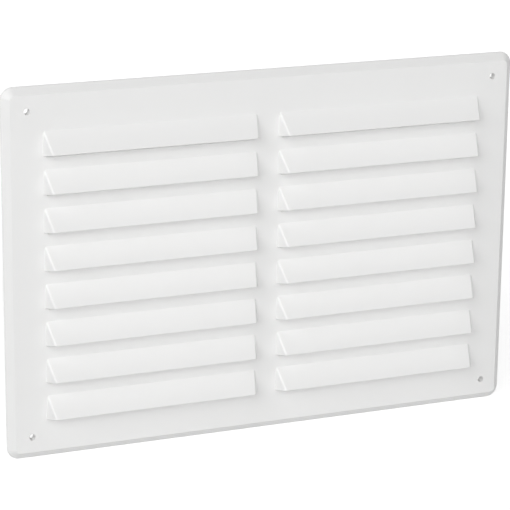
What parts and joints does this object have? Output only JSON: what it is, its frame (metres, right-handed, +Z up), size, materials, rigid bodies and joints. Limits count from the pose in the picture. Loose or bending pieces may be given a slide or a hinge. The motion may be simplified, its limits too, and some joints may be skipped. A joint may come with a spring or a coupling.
{
  "type": "louvre vent",
  "caption": "Flat rectangular wall vent cover in white moulded plastic, with two columns of downward-opening louvre hoods, a sloping rim and corner screw holes.",
  "frame": {"origin": "on the wall plane behind the plate, at the middle of its width and height", "axes": "+Z up the wall, -Y out of the wall towards the room, +X to the right seen from the front"},
  "size_m": [0.2426, 0.0108, 0.1674],
  "materials": {
    "white_plastic": "satin, as moulded"
  },
  "bodies": {
    "root": {"louvre_vent": "white_plastic"}
  },
  "joints": []
}
